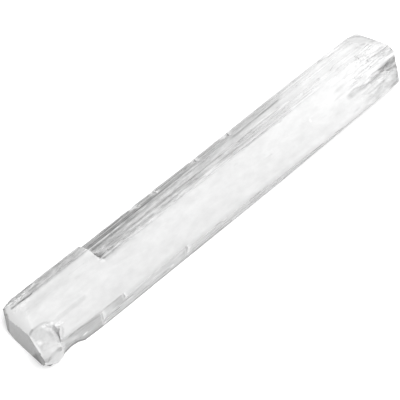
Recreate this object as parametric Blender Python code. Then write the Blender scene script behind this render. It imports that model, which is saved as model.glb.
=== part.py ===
"""A natural selenite crystal blade that lies on its flat underside.

The crystal is one solid. Its skin is a closed loft of laths, which run along the whole length
and step up or down by a fraction of a millimetre wherever a cleavage sheet ends. A long flake
has split off the back of the broad face, from an oblique fracture near one end, and has left a
striated slope. The loft is trimmed by flat facets at both ends, the corner beside the near end
swells into a rounded boss, and chips, nicks and splintered troughs are cut out of it.

+X runs from the near end to the far end, +Y to the back edge and +Z up. The origin is on the
surface that the blade lies on, under the middle of its bounding box.
"""

import math
import random

import bmesh
import bpy
from mathutils import Matrix, Vector, noise

MM = 0.001  # every size and place below is in millimetres
SEED = 23

# Ends of the raw loft, which the end facets trim
LOFT_START, LOFT_END = -96.0, 96.0

# The long edges, in order round the section, as x, y and z at a few places. Each has a course
# where the crystal is whole and another where the flake is gone.
LONG_EDGES = {
    "front top": (
        ((-96, -12.7, 12.4), (-45, -13.2, 12.5)),
        ((-60, -13.0, 12.5), (20, -14.2, 12.1), (50, -14.8, 11.7), (96, -13.9, 10.8)),
    ),
    "ridge": (
        ((-96, 2.8, 12.5), (-45, 2.8, 12.5)),
        ((-60, 2.8, 12.5), (30, 2.0, 12.1), (60, 2.2, 11.6), (96, 2.2, 11.0)),
    ),
    "crease": (
        ((-96, 9.2, 12.5), (-45, 9.3, 12.5)),
        ((-60, 8.7, 10.2), (5, 8.7, 10.2), (38, 8.6, 10.8), (60, 8.4, 11.2), (96, 8.4, 10.8)),
    ),
    "knee": (
        ((-96, 11.0, 11.2), (-45, 11.1, 11.3)),
        ((-60, 10.7, 9.7), (5, 10.7, 9.6), (38, 10.6, 10.2), (60, 10.4, 10.9), (96, 10.4, 10.6)),
    ),
    "back top": (
        ((-96, 14.2, 9.0), (-45, 13.7, 9.2)),
        ((-60, 13.5, 6.9), (-5, 13.7, 6.9), (38, 13.5, 7.8), (60, 12.8, 9.6), (96, 12.4, 10.1)),
    ),
    "back bulge": (
        ((-96, 14.7, 4.4), (-45, 14.5, 4.2)),
        ((-60, 14.5, 4.0), (0, 14.7, 3.6), (96, 13.4, 4.6)),
    ),
    "back bottom": (
        ((-96, 12.3, 0.0), (-45, 12.4, 0.0)),
        ((-60, 12.4, 0.0), (96, 11.4, 0.0)),
    ),
    "front bottom": (
        ((-96, -12.1, 0.0), (-45, -12.3, 0.0)),
        ((-60, -12.3, 0.0), (23, -12.0, 0.0), (53, -11.5, 0.0), (96, -10.1, 0.0)),
    ),
}

# The sides of the section, from each long edge to the next: number of laths, the direction in
# which they step, and how far, where the crystal is whole and where the flake is gone
SIDES = (
    (9, (0, 1), 0.04, 0.05),
    (10, (0, 1), 0.05, 0.30),
    (4, (0, 1), 0.16, 0.24),
    (5, (0.7, 0.7), 0.20, 0.26),
    (4, (1, 0), 0.30, 0.30),
    (4, (1, -0.4), 0.30, 0.30),
    (9, (0, -1), 0.22, 0.22),
    (7, (-1, 0), 0.24, 0.16),
)
LATH_WIDTHS = (0.5, 1.7)  # widths of the laths on a side, against each other
RISER = 0.14  # width of the strip that joins two laths
LEDGE_RUN = 0.6  # length over which a lath changes height
WANDER = 0.22  # how far the laths sway sideways
WANDER_LENGTH = 42.0

# The oblique fracture where the flake broke off: y and x along it
FRACTURE = ((2.8, -48.4), (4.6, -49.4), (8.1, -49.8), (11.0, -50.2), (13.4, -50.8), (15.0, -51.0))

# Spans of x that each hold one ledge of every lath
LEDGE_SPANS = (
    (-86, -72), (-70, -54), (-45, -26), (-21, 2), (4, 26), (28, 46), (48, 60), (62, 72), (74, 84),
)

# Flat facets that trim the blade: a point on each, and its outward direction
FACETS = {
    "near end": ((-88.0, -4.9, 0.5), (-1, -0.097, 0.169)),
    "near lower end": ((-89.05, 4.0, 0.5), (-1, 0.102, -0.18)),
    "near back end": ((-86.5, 12.5, 10.0), (-0.957, 0.277, 0.114)),
    "near back corner": ((-85.9, 12.9, 10), (-0.32, 0.89, -0.32)),
    "near top": ((-87.3, 7.9, 10.8), (-0.24, 0.10, 0.965)),
    "near front corner": ((-87.6, -9.0, 0.5), (-0.79, -0.62, 0)),
    "far back": ((86.6, 4.7, 9), (0.95, 0.32, 0.14)),
    "far back corner": ((83.8, 12.2, 9), (0.62, 0.77, 0.15)),
    "far front": ((87.1, -5.1, 9), (0.82, -0.57, 0.12)),
    "far front corner": ((80.4, -13.1, 9), (0.33, -0.94, 0.08)),
    "far tip": ((88.4, -0.6, 9), (0.99, -0.12, 0.10)),
    "far top bevel": ((80.6, 7.6, 10.9), (0.33, 0.36, 0.87)),
    "far front bevel": ((74.8, -11.0, 11.1), (0.13, -0.38, 0.92)),
    "far lower end": ((88.1, 0, 2.6), (0.84, 0.04, -0.54)),
}
FACET_CUTTER = 240.0  # side of the cube that cuts a facet

# The rounded boss on the near front corner, and the pit with flat walls beside it
BOSS_CENTRE = (-83.9, -6.9, 8.0)
BOSS_RADII = (5.9, 7.1, 5.4)
BOSS_SQUARENESS = (0.8, 0.8, 0.36)  # along each axis; under 1 flattens the sides
BOSS_LUMPS = 0.10  # share of the radius
BOSS_FLATS = (  # facets that trim it: a point on each, and its direction
    ((-87.0, -5.1, 9.0), (-0.985, 0.16, 0.03)),
    ((-86.2, -12.2, 4.0), (-0.48, -0.83, -0.3)),
)
PIT_CENTRE = (-79.6, -6.9, 10.8)
PIT_RADIUS, PIT_DEPTH = 5.4, 4.8

# Chips scooped out of the surface: centre, radii, and turn about Z in degrees
SCOOPS = {
    "under the boss": ((-75.6, -13.1, 0.4), (5.6, 2.6, 7.4), 2),
    "far pit": ((84.0, -7.0, 12.3), (5.4, 2.2, 3.5), 10),
    "far tip chip": ((89.4, 2.2, 9.0), (2.4, 3.2, 7.0), 14),
    "far middle pit": ((70.5, -6.6, 12.3), (5.6, 1.1, 1.5), 8),
    "far inner pit": ((77.0, -6.2, 12.1), (4.5, 1.2, 1.6), -6),
}

# Slots with flat floors, where short laths have come away: centre, size, and turn about X and Z
SLOTS = {
    "near front side": ((-79.0, -13.3, 6.5), (34.4, 4.0, 18.0), -3.5, -2.1),
    "middle front side": ((-38.0, -14.8, 6.5), (29.6, 4.0, 18.0), 0, 1.4),
    "front bevel": ((-56.8, -14.3, 10.6), (10.2, 4.0, 6.0), -20, 0),
    "side ledge": ((-40.0, -13.0, 5.2), (21.0, 0.9, 1.9), -3, 0.4),
    "side ledge far": ((26.0, -14.1, 7.0), (44.0, 1.3, 1.6), 12, -0.6),
    "slope groove": ((-22.0, 9.5, 10.3), (58.0, 0.5, 1.2), -4, -0.3),
    "slope groove far": ((24.0, 6.4, 11.6), (40.0, 0.6, 1.0), 6, 0.5),
    "back ledge": ((-12.0, 14.7, 3.2), (52.0, 1.4, 1.7), 5, 0.2),
    "back ledge near": ((-66.0, 14.9, 6.4), (30.0, 1.3, 1.4), -6, -0.5),
    "far splinter 1": ((78.0, -2.2, 11.3), (19.0, 0.9, 0.8), 8, 2.4),
    "far splinter 2": ((84.0, -0.6, 11.1), (13.0, 0.8, 0.9), -10, -2.8),
    "far splinter 3": ((82.5, 3.4, 11.2), (14.0, 0.8, 0.7), 14, 1.5),
    "far splinter 4": ((79.5, -7.9, 11.2), (16.0, 1.0, 0.9), -6, -1.6),
    "far splinter 5": ((84.6, 5.6, 11.0), (11.0, 0.9, 0.8), 9, 3.2),
}

# Nicks in the lip of the slope, each a slanting wedge: x of its far side, and length at the lip
LIP_NICKS = ((-24.6, 3.0), (-16.7, 1.5), (2.8, 1.9), (19.0, 4.3))
LIP_NICK_Y, LIP_NICK_Z = 13.2, 7.7
LIP_NICK_REACH = (1.4, 2.7)  # how far out of the lip a nick is open, and how far into it
LIP_NICK_DEPTH = 1.3
LIP_NICK_TILT = 47  # degrees about X

# Small broken corners, scattered along the long edges: edge, count, size and span of x
EDGE_CHIPS = (
    ("front top", 6, (0.3, 0.6), (-20, 76)),
    ("front bottom", 6, (0.3, 0.5), (-50, 80)),
    ("back bottom", 8, (0.6, 1.3), (-80, 78)),
    ("back top", 5, (0.4, 0.8), (-84, -56)),
    ("back top", 7, (0.4, 0.8), (20, 76)),
)

SELENITE = (0.86, 0.87, 0.88, 1.0)


def along(course, x):
    """The y and z of a long edge's course at x."""
    for (x0, y0, z0), (x1, y1, z1) in zip(course, course[1:]):
        if x <= x1:
            break
    share = (x - x0) / (x1 - x0)
    return Vector((y0 + (y1 - y0) * share, z0 + (z1 - z0) * share))


def fracture_at(y):
    """The x at which the fracture crosses y."""
    for (y0, x0), (y1, x1) in zip(FRACTURE, FRACTURE[1:]):
        if y <= y1:
            break
    share = min(max((y - y0) / (y1 - y0), 0.0), 1.0)
    return x0 + (x1 - x0) * share


def corner(number, x, whole):
    """One corner of the section at x. Corners are numbered round the section."""
    courses = list(LONG_EDGES.values())[number % len(LONG_EDGES)]
    return along(courses[0] if whole else courses[1], x)


def lath_limits(count, dice):
    """Where the laths of a side begin and end, as shares of its width."""
    widths = [dice.uniform(*LATH_WIDTHS) for _ in range(count)]
    limits = [sum(widths[:number]) / sum(widths) for number in range(count + 1)]
    return list(zip(limits, limits[1:]))


def lath_stations(fracture, dice):
    """The places along a lath where its course is set, each with the number of its height."""
    ledges = sorted([fracture] + [dice.uniform(*span) for span in LEDGE_SPANS])
    places = [LOFT_START, LOFT_END]
    for x in ledges:
        places += [x - LEDGE_RUN / 2, x + LEDGE_RUN / 2]
    return [(x, sum(ledge < x for ledge in ledges)) for x in sorted(places)]


def lath_rows(side, share, moves, dice):
    """The two long edges of one lath, as rows of points. A lath that doesn't move keeps to its edge."""
    _, direction, whole_step, split_step = SIDES[side]
    middle = corner(side, LOFT_START, True).lerp(corner(side + 1, LOFT_START, True), sum(share) / 2)
    fracture = fracture_at(middle.x)
    stations = lath_stations(fracture, dice)
    heights = [dice.uniform(-1, 1) * moves for _ in range(len(LEDGE_SPANS) + 2)]
    rows = []
    for end, inward in zip(share, (1, -1)):
        row = []
        for x, number in stations:
            whole = x < fracture
            start, stop = corner(side, x, whole), corner(side + 1, x, whole)
            point = start.lerp(stop, end) + (stop - start).normalized() * RISER / 2 * inward
            point += Vector(direction) * heights[number] * (whole_step if whole else split_step)
            sway = noise.noise(Vector((x / WANDER_LENGTH, point.x / 9, point.y / 9))) * WANDER
            row.append(Vector((x, point.x + sway, point.y)))
        rows.append(row)
    return rows


def raw_crystal():
    """The closed loft of laths, before it is trimmed."""
    dice = random.Random(SEED)
    rows = []
    for side, (count, *_) in enumerate(SIDES):
        for number, share in enumerate(lath_limits(count, dice)):
            rows += lath_rows(side, share, 0 < number < count - 1, dice)
    mesh = bmesh.new()
    grid = [[mesh.verts.new(point * MM) for point in row] for row in rows]
    for row, following in zip(grid, grid[1:] + grid[:1]):
        for a, b, c, d in zip(row, row[1:], following[1:], following):
            mesh.faces.new((a, b, c, d))
    mesh.faces.new([row[0] for row in grid])
    mesh.faces.new([row[-1] for row in grid])
    bmesh.ops.recalc_face_normals(mesh, faces=mesh.faces)
    return mesh


def boss():
    """The rounded boss, as a lumpy ball with square shoulders and two flat sides."""
    mesh = bmesh.new()
    bmesh.ops.create_icosphere(mesh, subdivisions=3, radius=1)
    for vert in mesh.verts:
        unit = vert.co.copy()
        vert.co *= 1 + BOSS_LUMPS * noise.noise(unit * 1.7)
        for axis, power in enumerate(BOSS_SQUARENESS):
            vert.co[axis] = math.copysign(abs(vert.co[axis]) ** power, vert.co[axis])
        vert.co = (Vector(BOSS_CENTRE) + vert.co * Vector(BOSS_RADII)) * MM
    for point, outward in BOSS_FLATS:
        cut = bmesh.ops.bisect_plane(mesh, geom=mesh.verts[:] + mesh.edges[:] + mesh.faces[:],
                                     plane_co=Vector(point) * MM, plane_no=outward, clear_outer=True)
        rim = [item for item in cut["geom_cut"] if isinstance(item, bmesh.types.BMEdge)]
        bmesh.ops.edgeloop_fill(mesh, edges=rim)
    return mesh


def pit():
    """An upside-down pyramid, with a corner towards the far end."""
    mesh = bmesh.new()
    bmesh.ops.create_cone(mesh, cap_ends=True, segments=4, radius1=0, radius2=PIT_RADIUS, depth=PIT_DEPTH)
    mesh.transform(Matrix.Scale(MM, 4) @ Matrix.Translation(PIT_CENTRE))
    return mesh


def scoop(centre, radii, turn):
    """A chip with a rounded, faceted floor."""
    mesh = bmesh.new()
    bmesh.ops.create_icosphere(mesh, subdivisions=2, radius=1)
    for vert in mesh.verts:
        vert.co *= 1 + 0.18 * noise.noise(vert.co * 2.1 + Vector(centre))
    rotation = Matrix.Rotation(math.radians(turn), 3, "Z")
    mesh.transform(Matrix.LocRotScale(Vector(centre) * MM, rotation, Vector(radii) * MM))
    return mesh


def block(centre, size, tilt=0, turn=0):
    """A box, tilted about its own length and then turned about Z."""
    mesh = bmesh.new()
    bmesh.ops.create_cube(mesh, size=1)
    rotation = Matrix.Rotation(math.radians(turn), 3, "Z") @ Matrix.Rotation(math.radians(tilt), 3, "X")
    mesh.transform(Matrix.LocRotScale(Vector(centre) * MM, rotation, Vector(size) * MM))
    return mesh


def lip_nick(x, length):
    """A wedge with one square side, which narrows inwards from the lip."""
    out, inward = LIP_NICK_REACH
    start = -length * (out + inward) / inward
    plan = [Vector((start, out, 0)), Vector((0.1, out, 0)), Vector((0, -inward, 0))]
    mesh = bmesh.new()
    floor = mesh.faces.new([mesh.verts.new(corner) for corner in plan])
    roof = bmesh.ops.extrude_face_region(mesh, geom=[floor])["geom"]
    for vert in roof:
        if isinstance(vert, bmesh.types.BMVert):
            vert.co.z += LIP_NICK_DEPTH * 3
    bmesh.ops.recalc_face_normals(mesh, faces=mesh.faces)
    mesh.transform(Matrix.Translation((0, 0, -LIP_NICK_DEPTH)))
    mesh.transform(Matrix.Rotation(math.radians(-LIP_NICK_TILT), 4, "X"))
    mesh.transform(Matrix.Translation((x, LIP_NICK_Y, LIP_NICK_Z)))
    mesh.transform(Matrix.Scale(MM, 4))
    return mesh


def half_space(point, outward):
    """A cube with one face on a facet, covering all that lies outside it."""
    outward = Vector(outward).normalized()
    mesh = bmesh.new()
    bmesh.ops.create_cube(mesh, size=FACET_CUTTER * MM)
    centre = (Vector(point) + outward * FACET_CUTTER / 2) * MM
    mesh.transform(Matrix.LocRotScale(centre, outward.to_track_quat("Z", "Y"), None))
    return mesh


def edge_chip(centre, size, dice):
    """A small splinter lost from a long edge: a four-sided sliver laid along the blade."""
    mesh = bmesh.new()
    bmesh.ops.create_cone(mesh, cap_ends=True, segments=4, radius1=size, radius2=size * 0.4,
                          depth=size * dice.uniform(3, 7))
    lay = Matrix.Rotation(math.radians(90), 4, "Y")
    twist = Matrix.Rotation(math.radians(dice.uniform(20, 70)), 4, "X")
    skew = Matrix.Rotation(math.radians(dice.uniform(-7, 7)), 4, "Z")
    mesh.transform(Matrix.Translation(centre) @ skew @ twist @ lay)
    mesh.transform(Matrix.Scale(MM, 4))
    return mesh


def new_object(name, mesh, collection):
    data = bpy.data.meshes.new(name)
    mesh.to_mesh(data)
    mesh.free()
    made = bpy.data.objects.new(name, data)
    collection.objects.link(made)
    return made


def new_collection(name):
    collection = bpy.data.collections.new(name)
    bpy.context.scene.collection.children.link(collection)
    return collection


def apply_boolean(target, operation, name, mesh, helpers):
    """Joins a shape to the target or cuts it from it, with a Boolean modifier."""
    helper = new_object(name, mesh, helpers)
    helper.hide_render = True
    helper.display_type = "WIRE"
    modifier = target.modifiers.new(name, "BOOLEAN")
    modifier.operation = operation
    modifier.object = helper


def selenite():
    material = bpy.data.materials.new("selenite")
    material.use_nodes = True
    shader = material.node_tree.nodes["Principled BSDF"]
    shader.inputs["Base Color"].default_value = SELENITE
    shader.inputs["Roughness"].default_value = 0.3
    shader.inputs["IOR"].default_value = 1.52
    return material


def main():
    for old in list(bpy.data.objects):
        bpy.data.objects.remove(old)
    parts = new_collection("Selenite crystal blade")
    helpers = new_collection("Cutters")
    dice = random.Random(SEED + 1)

    blade = new_object("selenite_blade", raw_crystal(), parts)
    blade.data.materials.append(selenite())
    for name, facet in FACETS.items():
        apply_boolean(blade, "DIFFERENCE", name, half_space(*facet), helpers)
    for name, placing in SCOOPS.items():
        apply_boolean(blade, "DIFFERENCE", name, scoop(*placing), helpers)
    for name, placing in SLOTS.items():
        apply_boolean(blade, "DIFFERENCE", name, block(*placing), helpers)
    apply_boolean(blade, "DIFFERENCE", "pit", pit(), helpers)
    apply_boolean(blade, "UNION", "boss", boss(), helpers)
    for x, length in LIP_NICKS:
        apply_boolean(blade, "DIFFERENCE", f"lip nick at {x}", lip_nick(x, length), helpers)
    for edge, count, sizes, span in EDGE_CHIPS:
        for number in range(count):
            x = dice.uniform(*span)
            y, z = along(LONG_EDGES[edge][0 if x < FRACTURE[0][1] else 1], x)
            chip = edge_chip((x, y, z), dice.uniform(*sizes), dice)
            apply_boolean(blade, "DIFFERENCE", f"{edge} chip at {x:.0f}", chip, helpers)
    apply_boolean(blade, "DIFFERENCE", "underside", half_space((0, 0, 0), (0, 0, -1)), helpers)


main()
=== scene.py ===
import random
from math import cos, radians, sin

import bpy
from mathutils import Matrix, Vector


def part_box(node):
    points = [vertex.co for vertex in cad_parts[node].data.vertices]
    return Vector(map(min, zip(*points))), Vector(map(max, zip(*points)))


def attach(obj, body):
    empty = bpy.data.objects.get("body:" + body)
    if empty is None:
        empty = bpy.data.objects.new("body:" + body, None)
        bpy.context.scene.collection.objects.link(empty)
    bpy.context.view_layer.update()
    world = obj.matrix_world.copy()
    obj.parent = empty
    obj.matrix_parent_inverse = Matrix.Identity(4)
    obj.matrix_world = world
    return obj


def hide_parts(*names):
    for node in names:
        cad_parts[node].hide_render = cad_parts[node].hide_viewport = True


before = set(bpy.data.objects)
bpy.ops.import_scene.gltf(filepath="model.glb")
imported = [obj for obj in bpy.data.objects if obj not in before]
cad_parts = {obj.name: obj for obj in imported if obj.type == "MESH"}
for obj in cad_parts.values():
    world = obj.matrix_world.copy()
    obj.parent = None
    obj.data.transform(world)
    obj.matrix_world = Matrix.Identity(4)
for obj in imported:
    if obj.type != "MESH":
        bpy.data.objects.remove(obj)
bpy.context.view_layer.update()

mm = 0.001  # sizes below are in millimetres


def deselectAll():
    if bpy.context.mode != "OBJECT":
        bpy.ops.object.mode_set(mode="OBJECT")
    bpy.ops.object.select_all(action="DESELECT")


def pick(piece):
    deselectAll()
    piece.select_set(True)
    bpy.context.view_layer.objects.active = piece


# camera, floor and light
stageSettings = {
    "cameraTurn": -41.37,  # degrees round the blade; 0 looks along +Y
    "cameraHeight": 65.0,  # degrees above the floor
    "cameraDistance": 600.0,
    "cameraTarget": (-6.53, -0.70, 8.0),
    "cameraLens": 149.7,
    "floorSize": 9000.0,
    "floorColour": (0.93, 0.93, 0.93, 1),
    "floorGlow": 0.12,
    "floorRoughness": 0.9,
    "floorGloss": 0.1,
    "skyColour": (1.0, 1.0, 1.0, 1),
    "skyStrength": 0.72,
}

# soft boxes: place, what it points at, width, depth, power in watts
softBoxes = {
    "keySoftBox": ((120, -230, 900), (0, 0, 5), 800, 600, 9.0),
}


def lookBack(turn, height):
    a, e = radians(turn), radians(height)
    return Vector((sin(a) * cos(e), -cos(a) * cos(e), sin(e)))


def addCamera(s):
    data = bpy.data.cameras.new("bladeCamera")
    camera = bpy.data.objects.new("bladeCamera", data)
    bpy.context.collection.objects.link(camera)
    back = lookBack(s["cameraTurn"], s["cameraHeight"])
    right = Vector((cos(radians(s["cameraTurn"])), sin(radians(s["cameraTurn"])), 0))
    turn = Matrix((right, back.cross(right), back)).transposed().to_4x4()
    place = Vector(s["cameraTarget"]) * mm + back * s["cameraDistance"] * mm
    camera.matrix_world = Matrix.Translation(place) @ turn
    data.sensor_width = 36
    data.lens = s["cameraLens"]
    data.clip_start, data.clip_end = 0.01, 20
    bpy.context.scene.camera = camera


def addSoftBox(name, place, aim, width, depth, power):
    data = bpy.data.lights.new(name, "AREA")
    data.shape = "RECTANGLE"
    data.size, data.size_y = width * mm, depth * mm
    data.energy = power
    lamp = bpy.data.objects.new(name, data)
    bpy.context.collection.objects.link(lamp)
    lamp.location = Vector(place) * mm
    way = (Vector(aim) - Vector(place)).to_track_quat("-Z", "Y")
    lamp.rotation_mode = "QUATERNION"
    lamp.rotation_quaternion = way


def addFloor(s):
    bpy.ops.mesh.primitive_plane_add(size=s["floorSize"] * mm)
    floor = bpy.context.object
    floor.name = "studioFloor"
    paint = bpy.data.materials.new("palePaper")
    paint.use_nodes = True
    shader = paint.node_tree.nodes["Principled BSDF"]
    shader.inputs["Base Color"].default_value = s["floorColour"]
    shader.inputs["Roughness"].default_value = s["floorRoughness"]
    shader.inputs["Specular IOR Level"].default_value = s["floorGloss"]
    shader.inputs["Emission Color"].default_value = s["floorColour"]
    shader.inputs["Emission Strength"].default_value = s["floorGlow"]
    floor.data.materials.append(paint)


def addSky(s):
    world = bpy.data.worlds.new("studioSky")
    bpy.context.scene.world = world
    world.use_nodes = True
    sky = world.node_tree.nodes["Background"]
    sky.inputs["Color"].default_value = s["skyColour"]
    sky.inputs["Strength"].default_value = s["skyStrength"]


bpy.context.scene.view_settings.view_transform = "Standard"
deselectAll()
addCamera(stageSettings)
addFloor(stageSettings)
addSky(stageSettings)
for name, box in softBoxes.items():
    addSoftBox(name, *box)
print("stage ready")


# crystal mesh: the solid, cut into fine rows so that its skin can be carved
crystalSettings = {
    "seed": 7,
    "firstCut": 0.5,     # how far the first cut across lies from the near end
    "lastGap": 0.4,      # least room left at the far end
    "endStep": 0.7,      # cuts across, near the two ends
    "middleStep": 2.4,   # cuts across, between them
    "endLength": 26.0,
    "rowStep": 0.26,     # cuts along, on the faces that look up and down
    "wallStep": 0.3,     # cuts along, on the walls
    "stepSpread": 0.4,   # share by which the rows differ
    "flatAngle": 0.3,    # degrees; faces closer than this are joined before the cuts
    "bossSmoothing": 14,
    "sharpAngle": 30,    # degrees; edges sharper than this stay crisp
}


def cutAll(axis, places):
    way = Vector((0, 0, 0))
    way["xyz".index(axis)] = 1
    for place in places:
        bpy.ops.mesh.select_all(action="SELECT")
        bpy.ops.mesh.bisect(plane_co=way * place * mm, plane_no=way, threshold=1e-7)


def crossPlaces(s, low, high):
    places, x = [], low + s["firstCut"]
    while x < high - s["lastGap"]:
        places.append(x)
        near = min(x - low, high - x) < s["endLength"]
        x += s["endStep"] if near else s["middleStep"]
    return places


def rowPlaces(dice, low, high, step, spread):
    places, y = [], low + step
    while y < high - step / 2:
        places.append(y)
        y += step * dice.uniform(1 - spread, 1 + spread)
    return places


def makeCrystal(s):
    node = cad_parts["selenite_blade"]
    crystal = node.copy()
    crystal.data = node.data.copy()
    crystal.name = crystal.data.name = "crystalBlade"
    for key in list(crystal.keys()):
        del crystal[key]
    bpy.context.collection.objects.link(crystal)
    pick(crystal)
    bpy.ops.object.mode_set(mode="EDIT")
    bpy.ops.mesh.select_mode(type="VERT")
    bpy.ops.mesh.select_all(action="SELECT")
    bpy.ops.mesh.remove_doubles(threshold=1e-7)
    bpy.ops.mesh.dissolve_limited(angle_limit=radians(s["flatAngle"]))
    dice = random.Random(s["seed"])
    low, high = (Vector(c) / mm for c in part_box("selenite_blade"))
    cutAll("x", crossPlaces(s, low.x, high.x))
    cutAll("y", rowPlaces(dice, low.y, high.y, s["rowStep"], s["stepSpread"]))
    cutAll("z", rowPlaces(dice, low.z, high.z, s["wallStep"], s["stepSpread"]))
    bpy.ops.object.mode_set(mode="OBJECT")
    return crystal


# where each part of the skin lies: a point on each facet, and the way it looks
facets = {
    "nearEnd": (((-88.0, -4.9, 0.5), (-1, -0.097, 0.169)), ((-89.05, 4.0, 0.5), (-1, 0.102, -0.18)),
                ((-87.6, -9.0, 0.5), (-0.79, -0.62, 0))),
    "nearBack": (((-86.5, 12.5, 10.0), (-0.957, 0.277, 0.114)), ((-85.9, 12.9, 10), (-0.32, 0.89, -0.32))),
    "nearTop": (((-87.3, 7.9, 10.8), (-0.24, 0.10, 0.965)),),
    "bossEnd": (((-87.0, -5.1, 9.0), (-0.985, 0.16, 0.03)),),
    "farTop": (((80.6, 7.6, 10.9), (0.33, 0.36, 0.87)),),
    "farFront": (((74.8, -11.0, 11.1), (0.13, -0.38, 0.92)),),
    "farEnd": (((86.6, 4.7, 9), (0.95, 0.32, 0.14)), ((87.1, -5.1, 9), (0.82, -0.57, 0.12)),
               ((88.4, -0.6, 9), (0.99, -0.12, 0.10)), ((83.8, 12.2, 9), (0.62, 0.77, 0.15)),
               ((80.4, -13.1, 9), (0.33, -0.94, 0.08)), ((88.1, 0, 2.6), (0.84, 0.04, -0.54))),
}
# y and x along the fracture, then x and y along the front edge
fractureLine = ((2.8, -48.4), (4.6, -49.4), (8.1, -49.8), (11.0, -50.2), (13.4, -50.8), (15.0, -51.0))
frontLine = ((-89, -10.9), (-61.9, -11.9), (-61.8, -12.5), (-52.8, -13.1), (-23.3, -12.5), (-23.2, -13.5),
             (20, -14.2), (50, -14.8), (90, -14.2))
# a loose pair of numbers below gives the two ends of a soft edge
boss = {"centre": (-83.9, -6.9, 8.0), "radii": (5.9, 7.1, 5.4), "rim": (1.13, 1.2), "farX": (-77.5, -77),
        "footZ": (1.5, 3), "endGap": (0.1, 0.35), "edgeGap": (0.3, 0.9)}
pit = {"centre": (-79.6, -6.9, 10.8), "rim": (5.5, 5.7), "topZ": (12.9, 13.1)}
# where the painted shade falls on the foot of the near end, under the boss
shadedFoot = {"top": (-2.2, 12.5), "fall": (2.43, 0.92), "depth": (15.3, 18.3)}  # y and z, then how far down
nicks = ((-24.6, 3.0), (-16.7, 1.5), (2.8, 1.9), (19.0, 4.3))  # x of the far side, length at the lip
nickPlace = {"y": 13.2, "z": 7.7, "tilt": 47, "inward": 2.7, "below": (-1.6, -1.4), "above": (1.2, 1.5)}
slopeY = (2.2, 3.2)
bevelY = (8.6, 9.5)
riserX = (-70, -66)
farTopReach = (-1.3, 0.3)
brinkWidth = 1.7
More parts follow.
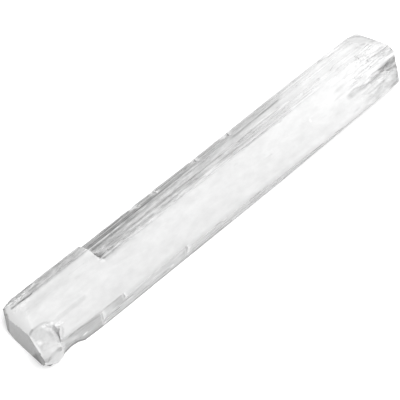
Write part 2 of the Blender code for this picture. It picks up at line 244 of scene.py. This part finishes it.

# strokes on what looks up, partly real dark marks and painted shadows, partly pale marks and painted
# highlights: x, y of the points, half width, and how dark (a negative one is pale)
topStrokes = (
    # near corner and boss: dark edges, painted shadow along the boss's rim and under it, and a painted glint
    (((-86.4, 12.3), (-87.0, 10.6), (-87.4, 9.0)), 0.40, 0.95),
    (((-86.5, -2.6), (-85.3, -1.7), (-84.2, -1.3)), 0.40, 0.75),
    (((-84.2, -1.3), (-81.2, -1.3), (-79.2, -1.8), (-78.2, -2.9)), 0.38, 0.35),
    (((-85.6, -6.5), (-85.2, -7.0)), 0.70, -0.8),
    (((-84.3, -11.2), (-81.6, -11.6)), 1.70, 0.08),
    (((-86.4, -9.4), (-84.9, -7.9), (-83.2, -9.0)), 0.30, 0.16),
    # pit: painted shade on its walls, a painted highlight along its rim and painted glints
    (((-79.9, -6.2), (-80.1, -9.2)), 1.00, 0.33),
    (((-79.0, -4.8), (-78.5, -4.7)), 0.35, -0.3),
    (((-77.5, -4.9), (-76.3, -6.4)), 0.40, 0.35),
    (((-75.3, -6.9), (-76.8, -9.0), (-78.6, -10.6)), 0.35, 0.35),
    (((-80.0, -10.4), (-79.0, -10.9)), 0.50, 0.35),
    (((-76.9, -5.2), (-76.4, -5.4)), 0.35, -1.0),
    (((-75.8, -5.6), (-75.3, -5.8)), 0.30, -1.0),
    (((-74.8, -5.8), (-74.5, -5.9)), 0.25, -1.0),
    # bevel on the back of the whole part
    (((-84.5, 13.2), (-78.0, 13.4), (-73.0, 13.6)), 0.40, 0.75),
    (((-84.3, 10.15), (-81.3, 9.8), (-75.8, 9.65)), 0.32, 0.9),
    (((-75.6, 11.65), (-71.5, 11.6)), 0.40, 0.5),
    (((-74.3, 12.5), (-72.4, 12.75)), 0.38, -0.9),
    (((-70.0, 12.6), (-66.0, 12.4)), 0.60, 0.30),
    (((-64.6, 11.3), (-63.8, 12.4)), 0.45, -0.35),
    (((-64.0, 13.0), (-58.5, 12.9)), 0.40, 0.35),
    (((-82.6, 5.8), (-74.0, 5.9), (-64.0, 5.7)), 1.40, 0.12),
    # the fracture, and what it laid bare, with painted shadow beside its step
    (((-51.5, 13.3), (-50.8, 11.1), (-50.3, 8.3), (-49.9, 5.2), (-49.3, 3.6), (-48.6, 2.2)), 0.30, -0.7),
    (((-50.0, 13.7), (-49.5, 12.4), (-49.2, 11.2)), 0.50, 1.0),
    (((-49.2, 12.4), (-44.0, 12.4), (-38.0, 12.4)), 1.50, 0.50),
    (((-37.0, 12.3), (-28.0, 12.3)), 1.20, 0.28),
    (((-50.0, 13.5), (-27.0, 14.1)), 0.30, 0.35),
    (((-49.8, 10.8), (-38.0, 10.8), (-24.0, 10.75)), 0.32, 0.65),
    (((-49.7, 10.05), (-42.0, 10.1), (-34.3, 10.1)), 0.22, -0.50),
    (((-34.3, 10.1), (-26.0, 10.1)), 0.24, -0.20),
    (((-49.4, 9.25), (-38.0, 9.2), (-28.0, 9.2)), 0.42, 0.65),
    (((-28.0, 9.2), (-20.0, 9.3)), 0.38, 0.25),
    (((-24.0, 10.7), (-6.0, 10.7), (2.0, 10.8)), 0.36, 0.62),
    (((0.0, 10.4), (8.0, 10.3), (15.0, 10.3)), 0.36, 0.35),
    (((-49.3, 6.2), (-48.2, 4.9)), 0.95, 0.6),
    (((-48.0, 7.4), (-45.6, 6.4)), 0.32, -0.6),
    (((-44.3, 6.1), (-43.4, 5.9)), 0.45, -0.5),
    (((-46.0, 8.4), (-40.0, 8.1)), 0.45, 0.35),
    (((-48.6, 4.25), (-39.4, 4.2)), 0.30, -0.6),
    (((-49.3, 3.4), (-40.4, 3.5)), 0.22, 0.4),
    (((-48.2, 2.3), (-36.2, 2.35)), 0.75, 0.16),
    (((-41.0, 6.5), (-35.6, 6.4)), 1.20, 0.22),
    (((-34.2, 7.9), (-20.0, 7.95)), 0.26, -0.4),
    (((-34.2, 6.95), (-12.0, 7.05), (10.0, 6.95)), 0.34, 0.40),
    (((-34.0, 6.1), (-22.0, 6.1)), 0.24, -0.35),
    (((-34.2, 5.2), (-24.0, 5.1)), 0.35, 0.30),
    (((-19.0, 5.4), (-13.0, 5.1)), 0.55, 0.25),
    (((-9.0, 5.3), (2.0, 5.2)), 0.55, 0.25),
    (((7.0, 5.0), (12.0, 4.9), (17.0, 4.9)), 0.32, 0.55),
    (((17.0, 4.9), (28.0, 5.0)), 0.34, 0.22),
    (((14.0, 3.0), (30.0, 3.1)), 0.38, 0.12),
    (((18.0, 9.65), (29.0, 9.75)), 0.50, 0.62),
    (((29.0, 9.8), (42.0, 10.0)), 0.45, 0.5),
    (((20.0, 7.0), (34.0, 7.0)), 0.30, 0.18),
    (((30.0, 5.6), (42.0, 5.5)), 0.30, 0.10),
    (((-26.0, 9.8), (-22.5, 9.8)), 0.30, -0.6),
    (((-5.0, 10.2), (0.5, 10.1)), 0.30, -0.6),
    (((2.5, 4.2), (7.0, 4.4)), 0.90, -0.5),
    # far end: the bevel, the splinters and the crack, with painted shadow along the crack's ledge and a pale
    # stroke of painted light on a shaded chip
    (((79.0, 12.6), (82.3, 11.4), (83.9, 9.7), (85.2, 7.3), (86.2, 4.8)), 0.45, 0.45),
    (((67.6, 12.5), (71.4, 12.4)), 0.60, -0.5),
    (((77.6, 6.8), (79.5, 6.1)), 0.30, 0.40),
    (((83.9, 5.4), (85.4, 4.7)), 0.50, 0.30),
    (((83.2, 1.1), (85.6, 0.6)), 0.40, 0.38),
    (((84.8, -3.1), (87.0, -2.9)), 0.70, 0.26),
    (((80.0, -1.0), (88.4, -1.0)), 2.20, 0.12),
    (((58.6, -2.1), (63.9, -1.8)), 0.60, 0.16),
    (((56.6, -4.4), (60.3, -4.4)), 0.32, 0.18),
    (((64.1, -4.4), (67.3, -4.4)), 0.32, 0.20),
    (((70.0, -4.7), (72.1, -4.6)), 0.55, 0.18),
    (((62.1, -7.3), (62.4, -6.3)), 0.50, 0.5),
    (((62.4, -6.0), (65.0, -5.6), (67.8, -6.4), (71.8, -7.1)), 0.28, 0.5),
    (((62.8, -6.8), (66.5, -6.9), (71.9, -7.6)), 0.70, 0.32),
    (((71.7, -7.0), (72.0, -7.1)), 0.35, 0.7),
    (((73.5, -7.2), (78.1, -6.2)), 0.95, 0.40),
    (((78.4, -6.1), (82.4, -5.6), (86.0, -5.8)), 0.95, 0.75),
    (((81.6, -5.9), (84.2, -6.1), (86.2, -5.6)), 0.75, 1.0),
    (((80.5, -7.4), (84.4, -7.4)), 0.42, 0.8),
    (((83.2, -3.7), (84.2, -4.0)), 0.30, -0.9),
    (((82.2, -8.3), (82.7, -8.4)), 0.30, -0.8),
    (((67.8, -10.4), (71.3, -10.5), (76.2, -10.2)), 0.32, 0.5),
    (((66.5, -9.6), (73.5, -9.0)), 0.60, 0.15),
    (((74.1, -9.3), (77.9, -9.3)), 0.25, -0.6),
    (((65.6, -12.3), (76.8, -12.0)), 0.95, 0.24),
    (((58.5, -12.6), (60.8, -12.6)), 0.35, 0.3),
    (((78.5, -12.4), (81.0, -11.6), (82.3, -10.6)), 0.90, 0.32),
    (((77.0, -13.3), (80.3, -13.0), (82.4, -10.9), (84.3, -8.2), (86.6, -5.6)), 0.36, 0.6),
)

# strokes on the front wall, as x, z; the palest is a painted glint
wallStrokes = (
    (((-76.0, 11.2), (-71.6, 11.5), (-67.7, 10.9), (-62.4, 9.6)), 0.35, 0.5),
    (((-77.7, 9.1), (-74.0, 6.6)), 1.60, -0.35),
    (((-70.0, 4.3), (-69.2, 4.7)), 0.50, -1.0),
    (((-61.0, 11.0), (-57.0, 8.6)), 1.50, -0.4),
    (((-61.5, 12.3), (-52.5, 12.3)), 0.35, 0.45),
    (((-41.7, 8.0), (-36.4, 7.9)), 0.45, -0.4),
)

# places where the skin glitters with tiny cleavage faces, carved as crumble and lit by painted glints: x, y,
# half sizes, strength
glitterPlaces = (
    (-80.3, 12.2, 5.2, 1.6, 1.0),
    (-81.0, 8.6, 4.5, 1.2, 0.30),
    (-75.8, -5.6, 1.3, 0.8, 0.45),
    (-46.0, 6.6, 3.6, 2.2, 0.35),
    (77.0, 1.2, 5.2, 2.8, 0.5),
    (82.5, 2.8, 3.5, 2.4, 0.42),
    (80.0, -8.6, 4.5, 1.5, 0.30),
    (72.0, -11.0, 9.0, 2.4, 0.22),
    (68.0, -4.0, 6.0, 1.6, 0.16),
)


def ramp(value, low, high):
    return min(1.0, max(0.0, (value - low) / (high - low)))


def along(line, t):
    for (t0, v0), (t1, v1) in zip(line, line[1:]):
        if t <= t1:
            break
    return v0 + (v1 - v0) * (t - t0) / (t1 - t0)


def onFacet(p, group):
    best = 0.0
    for point, way in facets[group]:
        gap = abs((p - Vector(point)).dot(Vector(way).normalized()))
        best = max(best, 1 - ramp(gap, 0.03, 0.2))
    return best


def strokeAt(x, y, strokes):
    # the darkest and the palest stroke over a place
    dark = pale = 0.0
    for points, half, strength in strokes:
        if not points[0][0] - 3 < x < points[-1][0] + 3:
            continue
        gap = 99.0
        for (x0, y0), (x1, y1) in zip(points, points[1:]):
            dx, dy = x1 - x0, y1 - y0
            t = min(1, max(0, ((x - x0) * dx + (y - y0) * dy) / (dx * dx + dy * dy)))
            gap = min(gap, ((x - x0 - dx * t) ** 2 + (y - y0 - dy * t) ** 2) ** 0.5)
        share = 1 - ramp(gap, half * 0.4, half * 1.6)
        dark, pale = max(dark, share * strength), max(pale, -share * strength)
    return dark, pale


def nickAt(p):
    # 1 inside a nick of the lip and on its walls
    tilt = radians(nickPlace["tilt"])
    dy, dz = p.y - nickPlace["y"], p.z - nickPlace["z"]
    across, rise = dy * cos(tilt) - dz * sin(tilt), dy * sin(tilt) + dz * cos(tilt)
    opening = (across + nickPlace["inward"]) / nickPlace["inward"]
    within = ramp(opening, -0.1, 0.1)
    within *= ramp(rise, *nickPlace["below"]) * (1 - ramp(rise, *nickPlace["above"]))
    best = 0.0
    for x, length in nicks:
        start = -length * opening
        best = max(best, min(ramp(p.x - x, start - 0.2, start + 0.2), 1 - ramp(p.x - x, 0.1, 0.35)))
    return best * within


def zonesAt(p, n):
    inBoss = sum(((p[i] - boss["centre"][i]) / boss["radii"][i]) ** 2 for i in range(3)) ** 0.5
    bossShare = (1 - ramp(inBoss, *boss["rim"])) * (1 - ramp(p.x, *boss["farX"])) * ramp(p.z, *boss["footZ"])
    bossShare *= 1 - onFacet(p, "nearTop") * ramp(p.y, -0.5, 0)
    endShare = onFacet(p, "nearEnd") * ramp(-n.x, 0.3, 0.5)
    bossShare *= 1 - endShare
    fromPit = (p - Vector(pit["centre"])).length
    pitShare = (1 - ramp(fromPit, *pit["rim"])) * ramp(n.x, 0.1, 0.3) * (1 - ramp(p.z, *pit["topZ"]))
    point, way = facets["bossEnd"][0]
    fromEnd = -(p - Vector(point)).dot(Vector(way).normalized())
    bossEnd = (1 - ramp(abs(fromEnd), *boss["endGap"])) * ramp(-n.x, 0.5, 0.8) * (1 - ramp(p.y, -1, 0))
    gone = ramp(p.x - along(fractureLine, p.y), 0, 0.5)
    looksUp = ramp(n.z, 0.15, 0.35)
    up = ramp(n.z, 0.4, 0.6)
    front = ramp(-n.y, 0.5, 0.7) * (1 - bossShare)
    dark, pale = strokeAt(p.x, p.y, topStrokes)
    wallDark, wallPale = strokeAt(p.x, p.z, wallStrokes)
    glitter = max(depth * (1 - ramp((((p.x - x) / a) ** 2 + ((p.y - y) / b) ** 2) ** 0.5, 0.7, 1.2))
                  for x, y, a, b, depth in glitterPlaces)
    # the boss's bright edge is a painted highlight
    bossEdgeHighlight = bossShare * (1 - ramp(fromEnd, *boss["edgeGap"])) * (1 - bossEnd) * ramp(n.z, -0.2, 0.1)
    farPoint, farWay = facets["farTop"][0]
    outwards = sum(farWay[i] * (p[i] - farPoint[i]) for i in range(2))
    down = sum(fall * (top - at) for fall, top, at in zip(shadedFoot["fall"], shadedFoot["top"], (p.y, p.z)))
    return {
        "slope": gone * looksUp * ramp(p.y, *slopeY),
        "nearBevel": (1 - gone) * looksUp * ramp(p.y, *bevelY) * (1 - onFacet(p, "nearTop")),
        "wall": ramp(abs(n.y), 0.5, 0.75) * ramp(abs(p.y), 9.5, 10.5) * (1 - bossShare),
        "nearEnd": max(endShare, bossEnd),
        "shadedFoot": max(endShare, bossEnd) * ramp(down, *shadedFoot["depth"]),
        "nearBack": onFacet(p, "nearBack") * (1 - ramp(n.z, 0.3, 0.5)) * (1 - bossShare),
        "nearTop": onFacet(p, "nearTop") * ramp(n.z, 0.8, 0.9) * (1 - bossShare),
        "farTop": ramp(outwards, *farTopReach) * ramp(n.z, 0.6, 0.8),
        "farFront": onFacet(p, "farFront") * ramp(n.z, 0.7, 0.85),
        "farEnd": onFacet(p, "farEnd") * (1 - looksUp),
        "boss": bossShare * (1 - pitShare) * (1 - bossEnd),
        "pit": pitShare,
        "marksAndShade": max(dark * ramp(n.z, 0.1, 0.4), wallDark * front),
        "paleMarksAndHighlights": max(pale * up, wallPale * front, 0.8 * bossEdgeHighlight),
        "glitter": glitter * up * (1 - dark),
        "nick": nickAt(p) * gone * (1 - 0.5 * ramp(n.y, 0.5, 0.8)),
        "riser": ramp(-n.x, 0.5, 0.8) * ramp(p.x, *riserX) * ramp(-p.y, 10.0, 11.0),
        "brink": looksUp * (1 - ramp(p.y - along(frontLine, p.x), 0.0, brinkWidth)),
    }


def markZones(piece):
    mesh = piece.data
    marks = [zonesAt(v.co / mm, v.normal) for v in mesh.vertices]
    for name in marks[0]:
        layer = mesh.attributes.new(name, "FLOAT", "POINT")
        layer.data.foreach_set("value", [m[name] for m in marks])
    return marks


# the broad face: its heights along x at the front edge and at the ridge, and how far it reaches
frontHeights = ((-96, 12.42), (-60, 12.47), (-48, 12.46), (-30, 12.41), (-10, 12.30), (10, 12.17),
                (30, 11.99), (50, 11.72), (70, 11.32), (96, 10.8))
ridgeHeights = ((-96, 12.5), (-60, 12.5), (-48, 12.47), (-30, 12.42), (-10, 12.33), (10, 12.22),
                (30, 12.06), (50, 11.78), (70, 11.42), (96, 11.0))
broadFace = {"nearX": (-82, -79), "farX": (56, 66), "backY": (8.4, 9.2), "span": (-13.5, 2.5), "lowest": 11}


def levelFace(piece, marks):
    # the broad cleavage face is evened out, up and down only
    levels = {}
    for vertex, mark in zip(piece.data.vertices, marks):
        p = vertex.co / mm
        share = ramp(p.x, *broadFace["nearX"]) * (1 - ramp(p.x, *broadFace["farX"]))
        share *= 1 - ramp(p.y, *broadFace["backY"])
        if vertex.normal.z < 0.6 or p.z < broadFace["lowest"] or share == 0:
            continue
        share *= (1 - mark["slope"]) * (1 - mark["nearTop"]) * (1 - min(1, mark["boss"] + mark["pit"]))
        front = along(frontHeights, p.x)
        level = front + (along(ridgeHeights, p.x) - front) * ramp(p.y, *broadFace["span"])
        levels[vertex.index] = (p.z + (level - p.z) * share) * mm
    for index, height in levels.items():
        piece.data.vertices[index].co.z = height


def softenBoss(piece, marks, rounds):
    # the boss is worn round
    pick(piece)
    for vertex, mark in zip(piece.data.vertices, marks):
        vertex.select = mark["boss"] > 0.9 and vertex.co.z > 2 * mm
    bpy.ops.object.mode_set(mode="EDIT")
    bpy.ops.mesh.vertices_smooth(factor=0.5, repeat=rounds)
    bpy.ops.object.mode_set(mode="OBJECT")


# how deep each kind of texture cuts, and how far it is drawn out along x, y and z, in millimetres
reliefs = {
    "fibre": {"depth": 0.10, "stretch": (14.0, 0.7, 0.7), "detail": 2},
    "splinter": {"depth": 0.55, "stretch": (4.2, 0.8, 0.8), "detail": 3},
    "crumble": {"depth": 0.34, "stretch": (1.5, 0.8, 0.8), "detail": 2},
    "swell": {"depth": 0.22, "stretch": (3.8, 3.0, 3.0), "detail": 1},
}
grainTurn = (0.35, 0, radians(0.35))  # the textures lie a little askew


def reliefShares(p, n, mark):
    underside = 1 - ramp(p.z, 0.05, 0.5)
    ends = max(mark["nearEnd"], mark["nearTop"], mark["nearBack"], mark["boss"], mark["farEnd"])
    farRough = ramp(p.x, 60, 76) * ramp(n.z, -0.2, 0.5) * (1 - 0.75 * mark["farTop"])
    farRough *= 0.12 + 0.88 * (1 - ramp(abs(p.y + 3), 4, 9))
    calm = 1 - 0.75 * ramp(p.x, 28, 46)
    underBoss = ramp(-p.y, 9.0, 10.0) * (1 - ramp(p.x, -72, -66)) * ramp(p.x, -80, -78)
    broken = ramp(p.x, -50, -48) * (1 - ramp(p.x, -44, -38)) * mark["slope"] * (1 - ramp(p.y, 8, 9.5))
    face = ramp(n.z, 0.7, 0.9) * (1 - mark["slope"]) * (1 - mark["nearBevel"])
    onFace = p.z > 11.5 and along(frontLine, p.x) + 0.7 < p.y < 8.8
    upright = 0 if onFace else 1 - ramp(n.z, 0.4, 0.7)
    shares = {
        "fibre": max(0.03 * face, 0.65 * mark["slope"] * calm, 0.8 * mark["nearBevel"],
                     0.35 * upright) * (1 - 0.85 * ends),
        "splinter": farRough,
        "crumble": max(0.9 * mark["glitter"], 0.45 * mark["nearBevel"], 0.5 * underBoss, 0.35 * farRough,
                       0.6 * broken, 0.34 * mark["slope"] * calm, 0.12 * mark["wall"], 0.15 * mark["pit"],
                       0.4 * mark["nick"]),
        "swell": max(0.35 * mark["boss"], 0.2 * mark["slope"], 0.2 * mark["wall"], 0.12 * face),
    }
    return {name: share * (1 - underside) for name, share in shares.items()}


def addRelief(piece, marks):
    shares = [reliefShares(v.co / mm, v.normal, m) for v, m in zip(piece.data.vertices, marks)]
    for name in reliefs:
        group = piece.vertex_groups.new(name=name)
        for index, share in enumerate(shares):
            if share[name] > 0.01:
                group.add((index,), share[name], "REPLACE")
    pick(piece)
    for name, relief in reliefs.items():
        guide = bpy.data.objects.new(name + "Guide", None)
        bpy.context.collection.objects.link(guide)
        guide.scale = Vector(relief["stretch"]) * mm
        guide.rotation_euler = grainTurn
        grain = bpy.data.textures.new(name, "CLOUDS")
        grain.noise_scale = 1.0
        grain.noise_depth = relief["detail"]
        grain.contrast = 1.6
        bpy.context.view_layer.update()
        bpy.ops.object.modifier_add(type="DISPLACE")
        carve = piece.modifiers[-1]
        carve.texture, carve.texture_coords, carve.texture_coords_object = grain, "OBJECT", guide
        carve.strength, carve.mid_level = relief["depth"] * mm, 1.0
        carve.vertex_group = name
        bpy.ops.object.modifier_apply(modifier=carve.name)
        bpy.data.objects.remove(guide)
    piece.vertex_groups.clear()


def keepInside(piece):
    # nothing stands out beyond the box of the solid
    low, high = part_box("selenite_blade")
    for vertex in piece.data.vertices:
        vertex.co = [min(max(c, a), b) for c, a, b in zip(vertex.co, low, high)]


# share of the light that each part of the skin gives back; the shaded foot under the boss and the near back
# facet are painted shade, and the near end is partly painted shade
tones = {
    "nearBevel": 0.50,
    "nearEnd": 0.36,
    "shadedFoot": 0.14,
    "nearBack": 0.12,
    "farFront": 0.60,
    "farEnd": 0.30,
    "boss": 0.58,
    "pit": 0.71,
}
streaked = ("nearBevel", "farFront", "pit")  # the rest are grainy

# how the tone changes along x; the face's rise towards the far end is painted light, and the near top is
# lifted by painted light where it meets the face and darkened by painted shade towards the corner
faceTones = ((-90, 0.69), (-40, 0.67), (20, 0.69), (50, 0.74), (90, 0.81))
nearTopTones = ((-88, 0.57), (-85.5, 0.64), (-83.5, 0.71), (-82.5, 0.74))
slopeDepths = ((-56, 0.50), (-50, 0.62), (-46, 0.76), (-42, 0.90), (-36, 0.97), (-10, 1.0))
slopeFade = ((-50, 0.0), (-30, 0.03), (-5, 0.26), (10, 0.42), (20, 0.50), (36, 0.72), (44, 0.92), (52, 1.0))
wallTones = ((-90, 0.40), (-64, 0.41), (-61, 0.48), (-53, 0.49), (-50, 0.50), (0, 0.50), (24, 0.51),
             (38, 0.54), (50, 0.56), (90, 0.56))
# along y
faceBands = ((-14, 0.92), (-11.5, 0.93), (-9, 0.94), (-6, 0.97), (-3, 1.0), (0, 0.99), (2.5, 1.0),
             (5.2, 0.97), (7.5, 0.97), (9, 1.0))
slopeTones = ((2.4, 0.72), (3.4, 0.69), (4.8, 0.60), (8.2, 0.54), (10.2, 0.47), (10.9, 0.22),
              (12.2, 0.21), (13.8, 0.25))
# and up the walls: painted shade, deepest at the foot
wallShadeByHeight = ((0, 0.45), (0.8, 0.55), (1.9, 0.97), (6.0, 1.0), (9.5, 0.97), (11.6, 1.0), (12.6, 1.04))

seleniteSettings = {
    "ior": 1.52,
    "transmission": 0.2,      # milky; towards 1 it clears
    "subsurface": 0.25,
    "subsurfaceScale": 1.5,   # millimetres
    "roughness": (0.33, 0.41),
    "fibreStrength": 0.07,
    "fibreDepth": 0.06,       # millimetres
    "insideColour": (0.72, 0.74, 0.76, 1),
    "insideDensity": 90,      # absorption per metre
    "riserLightTone": 0.85,
    "paleMarksAndHighlightTone": 0.88,
    "brinkShade": 0.84,
    "farTopShade": 0.84,
    "marksAndShadeTone": 0.30,
}


def feed(tree, socket, value):
    if isinstance(value, bpy.types.NodeSocket):
        tree.links.new(value, socket)
    elif value is not None:
        socket.default_value = value


def addNode(tree, kind, *values, **settings):
    made = tree.nodes.new(kind)
    for key, value in settings.items():
        setattr(made, key, value)
    for socket, value in zip(made.inputs, values):
        feed(tree, socket, value)
    return made


def blendValue(tree, share, low, high):
    made = tree.nodes.new("ShaderNodeMix")
    for socket, value in zip((made.inputs[0], made.inputs[2], made.inputs[3]), (share, low, high)):
        feed(tree, socket, value)
    return made.outputs[0]


def times(tree, first, *others):
    for other in others:
        first = addNode(tree, "ShaderNodeMath", first, other, operation="MULTIPLY").outputs[0]
    return first


def spread(tree, value, low, high, toLow=0.0, toHigh=1.0):
    return addNode(tree, "ShaderNodeMapRange", value, low, high, toLow, toHigh).outputs[0]


def noiseAt(tree, place, stretch, low, high, detail=3.0, shift=(0, 0, 0)):
    guide = addNode(tree, "ShaderNodeMapping", place)
    guide.inputs["Location"].default_value = shift
    guide.inputs["Scale"].default_value = [1000 / s for s in stretch]
    noise = addNode(tree, "ShaderNodeTexNoise", guide.outputs[0])
    noise.inputs["Scale"].default_value = 1.0
    noise.inputs["Detail"].default_value = detail
    noise.inputs["Roughness"].default_value = 0.55
    return spread(tree, noise.outputs["Fac"], low, high)


def rampAlong(tree, value, stops):
    # a colour ramp over the span of the stops, read as a grey value
    low, high = stops[0][0], stops[-1][0]
    made = addNode(tree, "ShaderNodeValToRGB", spread(tree, value, low, high))
    dots = made.color_ramp.elements
    while len(dots) < len(stops):
        dots.new(0.5)
    for dot, (at, grey) in zip(dots, stops):
        dot.position = (at - low) / (high - low)
        dot.color = (grey, grey, grey, 1)
    return made.outputs["Color"]


def markOf(tree, name):
    return addNode(tree, "ShaderNodeAttribute", attribute_name=name).outputs["Fac"]


def makeSelenite(s):
    paint = bpy.data.materials.new("satinSelenite")
    paint.use_nodes = True
    tree = paint.node_tree
    shader = tree.nodes["Principled BSDF"]
    place = addNode(tree, "ShaderNodeTexCoord").outputs["Object"]
    axes = addNode(tree, "ShaderNodeSeparateXYZ", place)
    x, y, z = (times(tree, axis, 1000) for axis in axes.outputs)

    # noises: how far each is drawn out, where it starts and ends, detail, shift
    wander = noiseAt(tree, place, (9, 3, 3), 0.3, 0.7, 2)
    streak = noiseAt(tree, place, (16, 1.0, 1.0), 0.32, 0.68)
    shortStreak = noiseAt(tree, place, (4.5, 0.6, 0.6), 0.32, 0.68, 4, (7, 3, 0))
    blotch = noiseAt(tree, place, (3.6, 1.5, 1.5), 0.34, 0.66, 3, (2, 6, 4))
    slopeGlint = noiseAt(tree, place, (2.2, 0.8, 0.8), 0.58, 0.72, 2, (1, 8, 5))
    cloud = noiseAt(tree, place, (7, 3.2, 3.2), 0.35, 0.65, 3, (3, 1, 9))
    puff = noiseAt(tree, place, (2.6, 1.6, 1.6), 0.34, 0.66, 3, (8, 2, 1))
    pepper = noiseAt(tree, place, (1.5, 0.5, 0.5), 0.34, 0.66, 2, (9, 7, 3))
    grain = noiseAt(tree, place, (1.2, 0.9, 0.9), 0.3, 0.7, 3, (5, 5, 2))
    glints = noiseAt(tree, place, (0.95, 0.55, 0.55), 0.38, 0.62, 2, (4, 0, 3))
    sway = spread(tree, wander, 0, 1, -0.3, 0.3)
    swayedY = addNode(tree, "ShaderNodeMath", y, sway, operation="ADD").outputs[0]

    # broad face: milky, with painted light making it whiter towards the far end, and faint clouds
    tone = times(tree, rampAlong(tree, x, faceTones), rampAlong(tree, swayedY, faceBands),
                 spread(tree, cloud, 0, 1, 0.965, 1.035), spread(tree, puff, 0, 1, 0.972, 1.028))

    # slope: clearer and darker outwards, striped along its length; the darkening and the dark stripes are
    # partly painted shade
    slopeTone = times(tree, rampAlong(tree, swayedY, slopeTones), rampAlong(tree, x, slopeDepths),
                      spread(tree, streak, 0, 1, 0.86, 1.12), spread(tree, shortStreak, 0, 1, 0.86, 1.13),
                      spread(tree, blotch, 0, 1, 0.84, 1.15), spread(tree, pepper, 0, 1, 0.90, 1.09))
    # bright flecks on the slope are painted glints
    slopeTone = blendValue(tree, times(tree, slopeGlint, 0.35), slopeTone, 0.75)
    slopeTone = blendValue(tree, rampAlong(tree, x, slopeFade), slopeTone, tone)
    tone = blendValue(tree, markOf(tree, "slope"), tone, slopeTone)

    # walls: rough and grey, darkened partly by painted shade, most of all at the foot
    wallTone = times(tree, rampAlong(tree, x, wallTones), rampAlong(tree, z, wallShadeByHeight),
                     spread(tree, shortStreak, 0, 1, 0.92, 1.08), spread(tree, blotch, 0, 1, 0.88, 1.12))
    tone = blendValue(tree, markOf(tree, "wall"), tone, wallTone)
    # painted light: the slot's end wall is lifted out of its shade
    tone = blendValue(tree, markOf(tree, "riser"), tone, s["riserLightTone"])
    tone = times(tree, tone, spread(tree, markOf(tree, "brink"), 0, 1, 1.0, s["brinkShade"]))
    # the near top facet: painted light evens out its tilt, painted shade darkens it towards the corner
    tone = blendValue(tree, markOf(tree, "nearTop"), tone, rampAlong(tree, x, nearTopTones))
    tone = times(tree, tone, spread(tree, markOf(tree, "farTop"), 0, 1, 1.0, s["farTopShade"]))

    for name, value in tones.items():
        pattern = blotch if name in streaked else grain
        reach = 0.16 if name in streaked else 0.06
        value = spread(tree, pattern, 0, 1, value * (1 - reach), value * (1 + reach))
        tone = blendValue(tree, markOf(tree, name), tone, value)

    # small marks: dark strokes of real marks and painted shadow, pale strokes of pale marks and painted
    # highlights, painted glints, and fresh nicks painted pale
    gaps = blendValue(tree, times(tree, markOf(tree, "slope"), spread(tree, x, -49, -46)), 1.0,
                      spread(tree, streak, 0, 1, 0.25, 1.35))
    # dark strokes: real marks, and painted shadow in creases, pits and beside steps
    marksAndShade = times(tree, markOf(tree, "marksAndShade"), gaps, spread(tree, shortStreak, 0, 1, 0.62, 1.25))
    tone = times(tree, tone, spread(tree, marksAndShade, 0, 1, 1.0, s["marksAndShadeTone"]))
    # pale strokes and the boss's bright edge: pale marks and painted highlights
    paleMarksAndHighlights = times(tree, markOf(tree, "paleMarksAndHighlights"), spread(tree, shortStreak, 0, 1, 0.55, 0.95))
    tone = blendValue(tree, paleMarksAndHighlights, tone, s["paleMarksAndHighlightTone"])
    # glitter: painted glints of tiny cleavage faces
    glitterTone = spread(tree, glints, 0, 1, 0.46, 1.05)
    tone = blendValue(tree, times(tree, markOf(tree, "glitter"), 0.75), tone, glitterTone)
    # nicks painted pale, partly as their fresh white break and partly as painted light lifting them out of
    # their shade
    tone = blendValue(tree, markOf(tree, "nick"), tone, spread(tree, grain, 0, 1, 0.75, 0.88))

    grey = addNode(tree, "ShaderNodeCombineColor", tone, tone, tone)
    tree.links.new(grey.outputs[0], shader.inputs["Base Color"])
    feed(tree, shader.inputs["Roughness"], spread(tree, cloud, 0, 1, *s["roughness"]))
    shader.inputs["IOR"].default_value = s["ior"]
    shader.inputs["Transmission Weight"].default_value = s["transmission"]
    shader.inputs["Subsurface Weight"].default_value = s["subsurface"]
    shader.inputs["Subsurface Scale"].default_value = s["subsurfaceScale"] * mm
    shader.inputs["Subsurface Radius"].default_value = (1.0, 1.0, 1.0)

    # fine fibres that catch the light
    fibres = noiseAt(tree, place, (6, 0.28, 0.28), 0.2, 0.8, 3, (0, 4, 7))
    bump = addNode(tree, "ShaderNodeBump")
    bump.inputs["Strength"].default_value = s["fibreStrength"]
    bump.inputs["Distance"].default_value = s["fibreDepth"] * mm
    tree.links.new(fibres, bump.inputs["Height"])
    tree.links.new(bump.outputs[0], shader.inputs["Normal"])

    # the milky inside takes a little light away
    inside = tree.nodes.new("ShaderNodeVolumeAbsorption")
    inside.inputs["Color"].default_value = s["insideColour"]
    inside.inputs["Density"].default_value = s["insideDensity"]
    tree.links.new(inside.outputs[0], tree.nodes["Material Output"].inputs["Volume"])
    return paint


crystal = makeCrystal(crystalSettings)
print("crystal cut into", len(crystal.data.polygons), "faces")
marks = markZones(crystal)
levelFace(crystal, marks)
softenBoss(crystal, marks, crystalSettings["bossSmoothing"])
print("zones marked")
addRelief(crystal, marks)
keepInside(crystal)
print("relief carved")
crystal.data.materials.clear()
crystal.data.materials.append(makeSelenite(seleniteSettings))
pick(crystal)
bpy.ops.object.shade_smooth_by_angle(angle=radians(crystalSettings["sharpAngle"]))

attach(crystal, "root")
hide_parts("selenite_blade")
